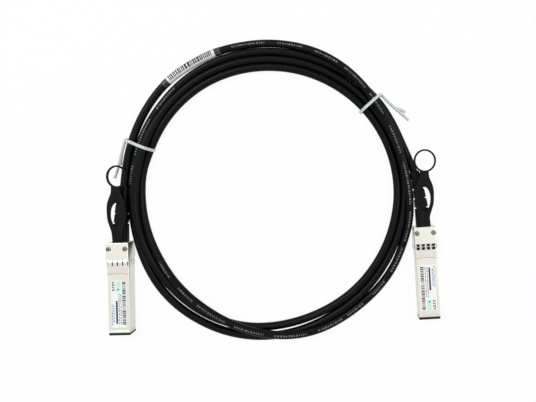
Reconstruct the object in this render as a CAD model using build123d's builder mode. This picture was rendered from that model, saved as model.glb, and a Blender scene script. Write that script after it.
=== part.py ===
from build123d import *
import math
import os

os.makedirs("parts", exist_ok=True)

# A direct attach copper cable: two identical small form-factor plugs joined by a
# twin-axial cable, wound in a loose coil and lying on a flat surface.
# Millimetres, Z up. The origin is on the surface, midway between the two plugs.
# In each plug's own frame, X runs across it, Y runs from its nose towards the
# cable, Z is up, and the origin is below the middle of its rear face.

# Plug housing
body_width = 13.4
body_height = 8.5
body_bottom = 1.1
body_corner = 0.5
head_width = 14.1
head_height = 10.9
head_length = 10.3
head_corner = 0.8
head_edge = 0.45
plug_length = 58.3
seam_height = 5.4
side_wall = 1.1
floor_wall = 1.3
roof_wall = 1.1
nose_length = 1.7
groove_gap = 1.4
groove_width = 0.8
groove_depth = 0.4

# Spaces inside the head
channel_width = 7.9
channel_floor = 1.1
channel_roof = 8.5
rear_wall = 1.5
channel_front = 8.6
bulkhead_front = 11.5
running_gap = 0.15
fine_gap = 0.05

# Screws
screw_spacing = 10.3
screw_setback = 3.9
screw_head_radius = 1.35
screw_head_height = 1.2
screw_radius = 0.8
screw_length = 8.0
screw_recess_width = 0.45
screw_recess_span = 1.9
screw_recess_depth = 0.6
counterbore_radius = 1.6
counterbore_depth = 1.4

# Spring-finger collar
collar_length = 9.8
collar_sheet = 0.25
collar_arch = 0.8
collar_rim = 0.4
finger_length = 3.9
finger_pitch = 3.2
finger_width = 2.5
finger_count = 4
finger_rise = 0.5
side_finger_pitch = 2.6
side_finger_width = 2.0
side_finger_count = 3

# Label
label_start = 23.7
label_length = 29.2
label_width = 10.4
label_recess = 0.2
label_sheet = 0.12
label_corner = 0.6

# Nose frame and its mouth
mouth_width = 9.8
mouth_height = 5.0
mouth_floor = 2.9
sleeve_depth = 3.0
nose_edge = 0.5

# Circuit board
board_width = 10.9
board_bottom = 4.3
board_thickness = 1.0
board_rear = 24.0
board_shoulder = 53.2
card_width = 9.2
card_setback = 0.9
card_corner = 0.6
rail_width = 1.0
rail_rear = 26.0
rail_length = 24.0
contact_count = 10
contact_pitch = 0.8
contact_width = 0.5
contact_length = 3.4
contact_sheet = 0.04
chip_side = 3.0
chip_height = 0.9
chip_place = 33.0
capacitor_length = 1.6
capacitor_width = 0.8
capacitor_height = 0.7
capacitor_place = 46.0
capacitor_pitch = 1.9

# Cable, ferrule and the pairs inside the plug
cable_diameter = 5.0
cable_axis = 4.9
cable_start = 9.6
ferrule_wall = 0.3
ferrule_front = 10.0
ferrule_rear = 4.2
pair_width = 2.2
pair_height = 1.4
pair_place = 1.2
wire_diameter = 0.4
wire_spacing = 1.1
wire_tail = 2.5

# Strain relief
boot_width = 9.0
boot_height = 6.6
boot_end_width = 6.4
boot_end_height = 5.9
boot_straight = 6.5
boot_length = 35.0
boot_corner = 1.6
boot_neck_width = 7.0
boot_neck_height = 6.0
boot_flange_width = 7.7
boot_flange_length = 1.4
boot_slot_start = 11.7
boot_slot_pitch = 6.0
boot_slot_count = 4
boot_slot_width = 0.9
boot_skin = 0.3
boot_bore_gap = 0.05

# Release slider and its spring
slider_sheet = 0.6
slider_top = 8.4
slider_bottom = 1.15
hoop_inner_width = 6.4
hoop_length = 2.4
hoop_rear = 5.4
release_travel = 2.0
strip_width = 2.4
strip_reach = 18.6
arm_place = 2.7
arm_width = 1.6
arm_reach = 25.0
wedge_rear = 22.6
wedge_flat = 0.8
wedge_depth = 0.8
lug_width = 3.0
lug_thickness = 0.8
lug_place = 6.5
lug_height = 1.1
spring_wire = 0.25
spring_radius = 0.72
spring_axis = 6.8
spring_turns = 7
post_width = 2.6
post_length = 2.5
post_height = 1.0
post_rear = 22.9

# Pull tab
tab_bottom = 8.5
tab_thickness = 1.2
tab_edge = 0.3
tongue_width = 6.2
tongue_reach = 7.7
tab_root = 0.3
ring_place = 41.1
ring_wall = 1.1
loop_outer_half = 6.0
loop_inner_half = 3.9
loop_start = 9.4
loop_end = 24.6
neck_half = 2.8

# Coil of cable: its middle, its inner edge and its outer edge by angle
coil_x = -4.1
coil_y = 29.6
coil_inner_radius = 79.6
coil_edge = 2.2
coil_outline = {
    0: 92.1,
    8: 90.8,
    15: 89.3,
    22: 89.6,
    30: 91.6,
    42: 93.8,
    60: 94.4,
    80: 94.5,
    100: 94.7,
    120: 94.9,
    135: 93.9,
    150: 91.9,
    165: 89.8,
    180: 89.2,
    195: 90.2,
    210: 92.0,
    225: 93.6,
    240: 94.6,
    255: 94.3,
    270: 93.4,
    285: 93.4,
    300: 94.2,
    320: 94.4,
    335: 94.1,
    347: 93.2,
}
strand_rise = 4.4

# Print tag on the cable, and the twist ties round the coil
tag_wall = 0.3
tag_start = 101.5
tag_length = 41.0
tie_width = 1.8
tie_sheet = 0.9
tie_corner = 1.6
tie_tail_diameter = 1.8
tie_left_angle = 158.7
tie_right_angle = 42.0
tie_inner_reach = 79.3
tie_left_reach = 97.1
tie_right_reach = 95.6

# Each plug's place and turn, and how its soft tab leans and its ring has set
plugs = {
    "a": dict(x=-98.0, y=0.2, turn=1.34, lean=1.0, ring_shift=0.9, ring_width=12.9, ring_length=14.3),
    "b": dict(x=94.6, y=10.2, turn=3.39, lean=-3.2, ring_shift=0.4, ring_width=14.0, ring_length=14.5),
}

# Sizes that follow from those above
body_middle = body_bottom + body_height / 2
body_top = body_bottom + body_height
nose_back = plug_length - nose_length
cavity_width = body_width - 2 * side_wall
cavity_floor = body_bottom + floor_wall
cavity_height = body_height - floor_wall - roof_wall
cavity_roof = cavity_floor + cavity_height
board_top = board_bottom + board_thickness
ferrule_radius = cable_diameter / 2 + ferrule_wall
hoop_outer_width = hoop_inner_width + 2 * slider_sheet
hoop_front = hoop_rear + hoop_length
tab_top = tab_bottom + tab_thickness
arm_slot_top = slider_bottom + slider_sheet + running_gap - fine_gap
screw_seat = head_height - counterbore_depth


def plug_frame(place):
    """The plug's own frame, as a plane lying on the surface."""
    turn = math.radians(place["turn"])
    return Plane(
        origin=(place["x"], place["y"], 0),
        x_dir=(math.cos(turn), math.sin(turn), 0),
        z_dir=(0, 0, 1),
    )


def across(frame, y):
    """The plane square to the plug's length at y, facing its nose."""
    return Plane(
        origin=frame.from_local_coords((0, y, 0)), x_dir=frame.x_dir, z_dir=-frame.y_dir
    )


def along(frame, x):
    """The upright plane along the plug's length at x, its sketches' X towards the cable."""
    return Plane(
        origin=frame.from_local_coords((x, 0, 0)), x_dir=frame.y_dir, z_dir=frame.x_dir
    )


def save(builder, name):
    """Labels one finished piece and writes it."""
    builder.part.label = name
    export_step(builder.part, f"parts/{name}.step")


def cut_box(frame, width, near, far, low, high, middle=0.0):
    """Cuts a box from y = near to y = far and z = low to z = high, centred on x = middle."""
    with Locations(Location(frame) * Pos(middle, (near + far) / 2, (low + high) / 2)):
        Box(width, abs(near - far), high - low, mode=Mode.SUBTRACT)


def screw_places():
    """The two screw centres in the plug's frame."""
    return [(side * screw_spacing / 2, -screw_setback) for side in (-1, 1)]


def make_shell(frame, upper):
    """One half of the die-cast housing: the whole outside and the spaces in it, split at the seam."""
    with BuildPart() as shell:
        with BuildSketch(across(frame, 0)):
            with Locations((0, head_height / 2)):
                RectangleRounded(head_width, head_height, head_corner)
        extrude(amount=head_length)
        rear_face = shell.faces().sort_by(Axis(frame.origin, frame.y_dir))[-1]
        fillet(rear_face.edges(), head_edge)
        with BuildSketch(across(frame, -head_length)):
            with Locations((0, body_middle)):
                RectangleRounded(body_width, body_height, body_corner)
        extrude(amount=nose_back - head_length)

        # The long space for the board, open at the nose
        cut_box(frame, cavity_width, -bulkhead_front, -plug_length, cavity_floor, cavity_roof)
        # The upright channel in the head for the slider, the ferrule and the boot's flange
        cut_box(frame, channel_width, -channel_front, -rear_wall, channel_floor, channel_roof)
        # The tab's channel on top of it, narrower, between the screws
        slot_width = tongue_width + 2 * running_gap
        slot_high = tab_bottom + tab_thickness + running_gap
        cut_box(frame, slot_width, -channel_front, 0, tab_bottom - fine_gap, slot_high)
        # The boot's opening in the rear wall
        with BuildSketch(across(frame, 0)):
            with Locations((0, cable_axis)):
                RectangleRounded(boot_neck_width, boot_neck_height, boot_corner)
        extrude(amount=rear_wall, mode=Mode.SUBTRACT)
        # The ferrule's seat and the pairs' passage in the bulkhead
        with BuildSketch(across(frame, -channel_front)):
            with Locations((0, cable_axis)):
                Circle(ferrule_radius + fine_gap)
        extrude(amount=ferrule_front - channel_front, mode=Mode.SUBTRACT)
        passage_width = 2 * pair_place + pair_width + 2 * running_gap
        passage_low = cable_axis - pair_height / 2 - running_gap
        passage_high = cable_axis + pair_height / 2 + running_gap
        cut_box(frame, passage_width, -bulkhead_front, -ferrule_front, passage_low, passage_high)
        # The slider's strip passes through the top of the bulkhead
        strip_slot_low = slider_top - slider_sheet - running_gap
        strip_slot_width = strip_width + 2 * running_gap
        cut_box(frame, strip_slot_width, -bulkhead_front, -channel_front, strip_slot_low, cavity_roof)
        # The slider's two arms run forward in slots that are open underneath
        arm_slot_width = arm_width + 2 * running_gap
        arm_slot_front = -arm_reach - 2 * running_gap
        for side in (-1, 1):
            middle = side * arm_place
            cut_box(frame, arm_slot_width, arm_slot_front, -channel_front, 0, arm_slot_top, middle)
        # A groove runs round the body behind the nose
        with BuildSketch(across(frame, -nose_back + groove_gap)):
            with Locations((0, body_middle)):
                Rectangle(body_width + 1, body_height + 1)
                RectangleRounded(
                    body_width - 2 * groove_depth,
                    body_height - 2 * groove_depth,
                    body_corner,
                    mode=Mode.SUBTRACT,
                )
        extrude(amount=groove_width / 2, both=True, mode=Mode.SUBTRACT)

        split(bisect_by=frame.offset(seam_height), keep=Keep.TOP if upper else Keep.BOTTOM)

        if upper:
            # The label's recess, the counterbores and the clearance holes for the screws
            with BuildSketch(frame.offset(body_top)):
                with Locations((0, -label_start - label_length / 2)):
                    RectangleRounded(label_width, label_length, label_corner)
            extrude(amount=-label_recess, mode=Mode.SUBTRACT)
            with BuildSketch(frame.offset(head_height)):
                with Locations(*screw_places()):
                    Circle(counterbore_radius)
            extrude(amount=-counterbore_depth, mode=Mode.SUBTRACT)
            with BuildSketch(frame.offset(head_height)):
                with Locations(*screw_places()):
                    Circle(screw_radius + running_gap)
            extrude(amount=-head_height, mode=Mode.SUBTRACT)
        else:
            # The tapped holes
            with BuildSketch(frame.offset(screw_seat - screw_length)):
                with Locations(*screw_places()):
                    Circle(screw_radius)
            extrude(amount=head_height, mode=Mode.SUBTRACT)
            # Rails that carry the board
            rail_x = (cavity_width - rail_width) / 2
            rail_y = -rail_rear - rail_length / 2
            with BuildSketch(frame.offset(cavity_floor)):
                with Locations((-rail_x, rail_y), (rail_x, rail_y)):
                    Rectangle(rail_width, rail_length)
            extrude(amount=board_bottom - cavity_floor)
            # The post that the cage's latch drops behind, sloped towards the nose
            with BuildSketch(along(frame, 0)):
                with BuildLine():
                    Polyline(
                        (-post_rear - post_length, body_bottom),
                        (-post_rear, body_bottom - post_height),
                        (-post_rear, body_bottom),
                        close=True,
                    )
                make_face()
            extrude(amount=post_width / 2, both=True)
    return shell


def make_clamp_screws(frame):
    """Two cross-head screws, sunk in the head of the upper shell."""
    with BuildPart() as clamp_screws:
        with BuildSketch(frame.offset(screw_seat)):
            with Locations(*screw_places()):
                Circle(screw_head_radius)
        extrude(amount=screw_head_height)
        rims = clamp_screws.edges().filter_by(GeomType.CIRCLE).group_by(Axis.Z)[-1]
        fillet(rims, screw_head_height / 3)
        with BuildSketch(frame.offset(screw_seat)):
            with Locations(*screw_places()):
                Circle(screw_radius)
        extrude(amount=-screw_length)
        with BuildSketch(frame.offset(screw_seat + screw_head_height)):
            with Locations(*screw_places()):
                Rectangle(screw_recess_span, screw_recess_width)
                Rectangle(screw_recess_width, screw_recess_span)
        extrude(amount=-screw_recess_depth, mode=Mode.SUBTRACT)
    return clamp_screws


def finger_planes(frame):
    """One plane per spring finger: X towards the cable, Y out of the body, with the finger's width."""
    planes = []
    for side in (-1, 1):
        for index in range(finger_count):
            x = (index - (finger_count - 1) / 2) * finger_pitch
            foot = frame.from_local_coords((x, 0, body_middle + side * body_height / 2))
            upright = Plane(origin=foot, x_dir=frame.y_dir, z_dir=frame.x_dir * side)
            planes.append((upright, finger_width))
        for index in range(side_finger_count):
            z = body_middle + (index - (side_finger_count - 1) / 2) * side_finger_pitch
            foot = frame.from_local_coords((side * body_width / 2, 0, z))
            level = Plane(origin=foot, x_dir=frame.y_dir, z_dir=(0, 0, -side))
            planes.append((level, side_finger_width))
    return planes


def make_emi_collar(frame):
    """A sheet-metal collar round the body, with rows of bowed spring fingers at the head."""
    front = -head_length - collar_length
    near = -head_length - collar_rim
    far = near - finger_length
    peak = near - finger_length * 0.42
    root = near + collar_rim / 2
    tip = far - collar_rim / 2
    with BuildPart() as emi_collar:
        with BuildSketch(across(frame, -head_length)):
            with Locations((0, body_middle)):
                RectangleRounded(
                    body_width + 2 * collar_sheet, body_height + 2 * collar_sheet, body_corner + collar_sheet
                )
                RectangleRounded(body_width, body_height, body_corner, mode=Mode.SUBTRACT)
        extrude(amount=collar_length)
        # The front edge is arched towards the head
        side_front = front - 3 * collar_arch
        with BuildSketch(frame):
            with BuildLine():
                ThreePointArc((-body_width, side_front), (0, front + collar_arch), (body_width, side_front))
                Line((body_width, side_front), (body_width, side_front - 1))
                Line((body_width, side_front - 1), (-body_width, side_front - 1))
                Line((-body_width, side_front - 1), (-body_width, side_front))
            make_face()
        extrude(amount=head_height, mode=Mode.SUBTRACT)
        # Windows in all four faces, which the fingers bridge
        cut_box(frame, finger_count * finger_pitch, far, near, 0, head_height)
        side_window = side_finger_count * side_finger_pitch
        window_low = body_middle - side_window / 2
        cut_box(frame, 2 * body_width, far, near, window_low, window_low + side_window)
        # Each finger is a bowed strip from one edge of its window to the other
        for plane, width in finger_planes(frame):
            with BuildSketch(plane):
                with BuildLine():
                    Line((root, 0), (near, 0))
                    ThreePointArc((near, 0), (peak, finger_rise), (far, 0))
                    Line((far, 0), (tip, 0))
                    Line((tip, 0), (tip, collar_sheet))
                    Line((tip, collar_sheet), (far, collar_sheet))
                    ThreePointArc((far, collar_sheet), (peak, finger_rise + collar_sheet), (near, collar_sheet))
                    Line((near, collar_sheet), (root, collar_sheet))
                    Line((root, collar_sheet), (root, 0))
                make_face()
            extrude(amount=width / 2, both=True)
    return emi_collar


def make_nose_frame(frame):
    """The black moulded frame round the mouth, with a sleeve that plugs into the shells."""
    with BuildPart() as nose_frame:
        with BuildSketch(across(frame, -nose_back)):
            with Locations((0, body_middle)):
                RectangleRounded(body_width, body_height, body_corner)
        extrude(amount=nose_length)
        front = nose_frame.faces().sort_by(Axis(frame.origin, frame.y_dir))[0]
        fillet(front.edges(), nose_edge)
        with BuildSketch(across(frame, -nose_back + sleeve_depth)):
            with Locations((0, cavity_floor + cavity_height / 2)):
                Rectangle(cavity_width, cavity_height)
        extrude(amount=sleeve_depth)
        with BuildSketch(across(frame, -nose_back + sleeve_depth)):
            with Locations((0, mouth_floor + mouth_height / 2)):
                RectangleRounded(mouth_width, mouth_height, body_corner)
        extrude(amount=sleeve_depth + nose_length, mode=Mode.SUBTRACT)
    return nose_frame


def make_circuit_board(frame):
    """The board, with a narrower card edge that reaches into the mouth."""
    card_tip = plug_length - card_setback
    with BuildPart() as circuit_board:
        with BuildSketch(frame.offset(board_bottom)):
            with Locations((0, -(board_rear + board_shoulder) / 2)):
                Rectangle(board_width, board_shoulder - board_rear)
            with Locations((0, -(board_shoulder + card_tip) / 2)):
                Rectangle(card_width, card_tip - board_shoulder)
        extrude(amount=board_thickness)
        corners = circuit_board.edges().filter_by(Axis.Z).group_by(Axis(frame.origin, frame.y_dir))[0]
        chamfer(corners, card_corner)
    return circuit_board


def contact_row():
    """Across the card edge, one place for each contact."""
    y = -plug_length + card_setback + card_corner + contact_length / 2
    return [((i - (contact_count - 1) / 2) * contact_pitch, y) for i in range(contact_count)]


def make_edge_contacts(frame):
    """A row of gold contacts on each face of the card edge."""
    with BuildPart() as edge_contacts:
        for start, amount in ((board_top, contact_sheet), (board_bottom, -contact_sheet)):
            with BuildSketch(frame.offset(start)):
                with Locations(*contact_row()):
                    Rectangle(contact_width, contact_length)
            extrude(amount=amount)
    return edge_contacts


def make_board_chips(frame):
    """The memory chip and the coupling capacitors that lie on the board."""
    with BuildPart() as board_chips:
        with BuildSketch(frame.offset(board_top)):
            with Locations((0, -chip_place)):
                Rectangle(chip_side, chip_side)
        extrude(amount=chip_height)
        with BuildSketch(frame.offset(board_top)):
            for index in range(4):
                with Locations(((index - 1.5) * capacitor_pitch, -capacitor_place)):
                    Rectangle(capacitor_width, capacitor_length)
        extrude(amount=capacitor_height)
    return board_chips


def make_twinax_pairs(frame):
    """Two flat pairs from the end of the jacket to the board, with their bared wires."""
    with BuildPart() as twinax_pairs:
        with BuildSketch(across(frame, -cable_start)):
            with Locations((-pair_place, cable_axis), (pair_place, cable_axis)):
                SlotOverall(pair_width, pair_height)
        extrude(amount=board_rear - cable_start)
        wires = [
            (side * pair_place + offset * wire_spacing / 2, board_top + wire_diameter / 2)
            for side in (-1, 1)
            for offset in (-1, 1)
        ]
        with BuildSketch(across(frame, -board_rear + wire_tail)):
            with Locations(*wires):
                Circle(wire_diameter / 2)
        extrude(amount=2 * wire_tail)
    return twinax_pairs


def make_cable_ferrule(frame):
    """The crimped sleeve that holds the end of the jacket, seated in the bulkhead."""
    with BuildPart() as cable_ferrule:
        with BuildSketch(across(frame, -ferrule_rear)):
            with Locations((0, cable_axis)):
                Circle(ferrule_radius)
                Circle(cable_diameter / 2, mode=Mode.SUBTRACT)
        extrude(amount=ferrule_front - ferrule_rear)
    return cable_ferrule


def make_release_slider(frame):
    """A folded steel hoop round the ferrule, with a strip to the spring and two wedge arms."""
    strip_bottom = slider_top - slider_sheet
    with BuildPart() as release_slider:
        with BuildSketch(across(frame, -hoop_rear)):
            with Locations((0, (slider_bottom + slider_top) / 2)):
                Rectangle(hoop_outer_width, slider_top - slider_bottom)
                Rectangle(hoop_inner_width, slider_top - slider_bottom - 2 * slider_sheet, mode=Mode.SUBTRACT)
        extrude(amount=hoop_length)
        # Strip and its down-turned end, which the spring pushes
        with BuildSketch(frame.offset(strip_bottom)):
            with Locations((0, -(hoop_rear + strip_reach) / 2)):
                Rectangle(strip_width, strip_reach - hoop_rear)
        extrude(amount=slider_sheet)
        with BuildSketch(across(frame, -strip_reach + slider_sheet)):
            with Locations((0, (spring_axis - spring_radius - spring_wire + slider_top) / 2)):
                Rectangle(strip_width, slider_top - spring_axis + spring_radius + spring_wire)
        extrude(amount=slider_sheet)
        # Arms with wedge tips beside the latch post
        for side in (-1, 1):
            with BuildSketch(along(frame, side * arm_place)):
                with BuildLine():
                    Polyline(
                        (-hoop_rear, slider_bottom),
                        (-hoop_rear, slider_bottom + slider_sheet),
                        (-arm_reach, slider_bottom + slider_sheet),
                        (-arm_reach, slider_bottom),
                        (-wedge_rear - wedge_flat, slider_bottom - wedge_depth),
                        (-wedge_rear, slider_bottom - wedge_depth),
                        (-wedge_rear, slider_bottom),
                        close=True,
                    )
                make_face()
            extrude(amount=arm_width / 2, both=True)
        # Lug that stands in the tab's window
        with BuildSketch(frame.offset(slider_top)):
            with Locations((0, -lug_place)):
                Rectangle(lug_width, lug_thickness)
        extrude(amount=lug_height)
    return release_slider


def make_return_spring(frame):
    """The coil spring between the bulkhead and the slider's down-turned end."""
    rear = -bulkhead_front - spring_wire / 2 - fine_gap
    front = -strip_reach + slider_sheet + spring_wire / 2 + fine_gap
    start = frame.from_local_coords((0, front, spring_axis))
    height = rear - front
    with BuildPart() as return_spring:
        with BuildLine():
            coil = Helix(
                pitch=height / spring_turns,
                height=height,
                radius=spring_radius,
                center=start,
                direction=frame.y_dir,
            )
        with BuildSketch(Plane(origin=coil @ 0, z_dir=coil % 0)):
            Circle(spring_wire / 2)
        sweep(path=coil, is_frenet=True)
    return return_spring


def make_pull_tab(frame, place):
    """The flat moulded pull tab: tongue, almond-shaped loop over the boot, neck and ring."""
    lean = math.radians(place["lean"])
    leaning = Plane(
        origin=frame.from_local_coords((0, tab_root, tab_bottom)),
        x_dir=frame.x_dir * math.cos(lean) + frame.y_dir * math.sin(lean),
        z_dir=(0, 0, 1),
    )
    half_outline = [
        (tongue_width / 2 + 0.5, loop_start * 0.7),
        (loop_outer_half * 0.93, loop_start + 4),
        (loop_outer_half, (loop_start + loop_end) / 2 + 1.5),
        (loop_outer_half * 0.9, loop_end + 0.5),
        (neck_half + 0.9, loop_end + 4.8),
    ]
    neck_end = ring_place - place["ring_length"] / 2 + ring_wall
    with BuildPart() as pull_tab:
        with BuildSketch(frame.offset(tab_bottom)):
            with Locations((0, (tab_root * 2 - tongue_reach) / 2)):
                Rectangle(tongue_width, tongue_reach + tab_root * 2)
            with Locations((0, -lug_place)):
                Rectangle(lug_width + 2 * fine_gap, lug_thickness + 2 * fine_gap, mode=Mode.SUBTRACT)
        extrude(amount=tab_thickness)
        with BuildSketch(leaning):
            with BuildLine():
                right = Spline((tongue_width / 2, 0), *half_outline, (neck_half, neck_end), tangents=((0.1, 1), (0, 1)))
                left = Spline(
                    (-tongue_width / 2, 0),
                    *[(-x, y) for x, y in half_outline],
                    (-neck_half, neck_end),
                    tangents=((-0.1, 1), (0, 1)),
                )
                Line(right @ 0, left @ 0)
                Line(right @ 1, left @ 1)
            make_face()
            with Locations((0, (loop_start + loop_end) / 2)):
                Ellipse(loop_inner_half, (loop_end - loop_start) / 2, mode=Mode.SUBTRACT)
            with Locations((place["ring_shift"], ring_place)):
                Ellipse(place["ring_width"] / 2, place["ring_length"] / 2)
                Ellipse(
                    place["ring_width"] / 2 - ring_wall,
                    place["ring_length"] / 2 - ring_wall,
                    mode=Mode.SUBTRACT,
                )
        extrude(amount=tab_thickness)
    return pull_tab


def make_plug_label(frame):
    """The printed label in the upper shell's recess."""
    with BuildPart() as plug_label:
        with BuildSketch(frame.offset(body_top - label_recess)):
            with Locations((0, -label_start - label_length / 2)):
                RectangleRounded(
                    label_width - 2 * running_gap, label_length - 2 * running_gap, label_corner - running_gap
                )
        extrude(amount=label_sheet)
    return plug_label


def bend_radii(points):
    """For each corner of a route, the largest radius that its two runs allow."""
    radii = []
    for before, here, after in zip(points, points[1:], points[2:]):
        arriving = Vector(*here) - Vector(*before)
        leaving = Vector(*after) - Vector(*here)
        turn = math.radians(arriving.get_angle(leaving))
        shorter = min(arriving.length, leaving.length)
        radii.append(0.45 * shorter / math.tan(turn / 2))
    return radii


def lead_route(frame, points):
    """The cable's route from inside the ferrule to the coil: two points on the plug's axis, then the list."""
    inside = frame.from_local_coords((0, -cable_start, cable_axis))
    rear = frame.from_local_coords((0, rear_wall - fine_gap * 10, cable_axis))
    return [tuple(inside), tuple(rear)] + points


def lead_path(route):
    """Straight runs joined by arcs through one route."""
    with BuildLine() as path:
        FilletPolyline(*route, radius=bend_radii(route))
    return path.wires()[0]


def station(path, distance):
    """The plane square to the path at a distance from its start, its X level."""
    total = path.length
    at = path @ (distance / total)
    heading = path % (distance / total)
    return Plane(origin=at, x_dir=(heading.Y, -heading.X, 0), z_dir=heading)


def make_cable_lead(path):
    """The cable from the ferrule to the coil, a plain round tube."""
    with BuildPart() as cable_lead:
        with BuildSketch(Plane(origin=path @ 0, z_dir=path % 0)):
            Circle(cable_diameter / 2)
        sweep(path=path)
    return cable_lead


def make_strain_relief(frame, path):
    """The boot moulded round the cable: tapered, slotted on its sides and flats, bored for the cable."""
    in_plug = cable_start
    shape = (
        (boot_straight, boot_width - 0.3, boot_height - 0.1),
        (boot_length * 0.55, 7.5, 6.2),
        (boot_length, boot_end_width, boot_end_height),
    )
    slot_depth = cable_diameter / 2 + boot_skin
    rear = Plane(origin=frame.from_local_coords((0, 0, cable_axis)), x_dir=frame.x_dir, z_dir=frame.y_dir)
    with BuildPart() as strain_relief:
        with BuildSketch(rear):
            RectangleRounded(boot_width, boot_height, boot_corner)
        for distance, width, height in shape:
            with BuildSketch(station(path, in_plug + distance)):
                RectangleRounded(width, height, boot_corner)
        loft()
        # Neck through the rear wall and the flange behind it
        with BuildSketch(across(frame, 0)):
            with Locations((0, cable_axis)):
                RectangleRounded(boot_neck_width, boot_neck_height, boot_corner)
        extrude(amount=rear_wall)
        with BuildSketch(across(frame, -rear_wall)):
            with Locations((0, cable_axis)):
                RectangleRounded(boot_flange_width, boot_height, boot_corner)
        extrude(amount=boot_flange_length)
        # Slots from both sides, and from above and below halfway between them
        for index in range(boot_slot_count):
            middle = in_plug + boot_slot_start + index * boot_slot_pitch
            with BuildSketch(station(path, middle)):
                with Locations((slot_depth + boot_width / 2, 0), (-slot_depth - boot_width / 2, 0)):
                    Rectangle(boot_width, boot_height + 1)
            extrude(amount=boot_slot_width / 2, both=True, mode=Mode.SUBTRACT)
            if index < boot_slot_count - 1:
                with BuildSketch(station(path, middle + boot_slot_pitch / 2)):
                    with Locations((0, slot_depth + boot_height / 2), (0, -slot_depth - boot_height / 2)):
                        Rectangle(boot_width, boot_height)
                extrude(amount=boot_slot_width / 2, both=True, mode=Mode.SUBTRACT)
        with BuildSketch(Plane(origin=path @ 0, z_dir=path % 0)):
            Circle(cable_diameter / 2 + boot_bore_gap)
        sweep(path=path, mode=Mode.SUBTRACT)
    return strain_relief


def polar(angle, radius, z=0.0):
    """A point by angle and radius from the middle of the coil."""
    turn = math.radians(angle)
    return (coil_x + radius * math.cos(turn), coil_y + radius * math.sin(turn), z)


def tie_plane(angle):
    """The upright plane through the coil's middle at an angle: X outwards, Y up."""
    turn = math.radians(angle)
    return Plane(
        origin=(coil_x, coil_y, 0),
        x_dir=(math.cos(turn), math.sin(turn), 0),
        z_dir=(math.sin(turn), -math.cos(turn), 0),
    )


def tie_outline(reach, shoulder):
    """The inside of a tie's band, as seen in its plane: it lies over the strands and under them."""
    high = cable_diameter + strand_rise + 0.1
    return [
        (tie_inner_reach, tie_sheet),
        (tie_inner_reach, high - 3.4),
        (tie_inner_reach + 3.2, high),
        (shoulder, high),
        (reach, high - 3.2),
        (reach, tie_sheet),
    ]


# Each tie: its angle, how far out it reaches, where its top slopes down, and its two tails
ties = {
    "left": dict(
        angle=tie_left_angle,
        reach=tie_left_reach,
        shoulder=88.0,
        tails=(
            ((-95.3, 65.1, 4.2), (-97.0, 60.4, 3.8), (-98.8, 55.2, 2.6), (-101.2, 48.0, 1.4), (-103.9, 40.4, 1.2)),
            ((-98.6, 55.7, 2.7), (-99.4, 52.2, 1.8), (-99.9, 48.8, 1.2)),
        ),
    ),
    "right": dict(
        angle=tie_right_angle,
        reach=tie_right_reach,
        shoulder=89.5,
        tails=(
            ((67.6, 94.2, 4.2), (73.0, 88.6, 3.4), (77.0, 85.2, 2.2), (85.8, 77.6, 1.2)),
            ((76.6, 85.6, 2.3), (80.6, 84.4, 1.5), (83.6, 82.9, 1.2)),
        ),
    ),
}

# Where the two leads leave the coil, and the cable's routes from there back into the plugs
join_a = (coil_x, coil_y + 97.3, cable_diameter / 2)
join_b = (83.4, 57.6, cable_diameter / 2)
lead_points = {
    "a": [
        (-97.7, 12.0, 4.8),
        (-97.4, 23.5, 4.3),
        (-96.7, 35.0, 3.4),
        (-95.5, 46.5, 3.2),
        (-93.2, 59.0, 3.7),
        (-88.6, 74.5, 3.4),
        (-80.8, 90.0, 2.8),
        (-69.6, 104.3, 2.85),
        (-54.8, 116.0, 2.9),
        (-37.8, 123.9, 2.85),
        (-20.0, coil_y + 97.3, 2.5),
        join_a,
    ],
    "b": [
        (93.3, 22.0, 4.6),
        (91.9, 32.0, 3.9),
        (89.6, 42.0, 3.25),
        (86.6, 50.5, 2.5),
        join_b,
    ],
}
paths = {}
for end, place in plugs.items():
    route = lead_route(plug_frame(place), lead_points[end])
    radii = bend_radii(route)
    paths[end] = lead_path(route)
    print("lead", end, "length", round(paths[end].length, 1), "radii", [round(r) for r in radii])


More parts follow.
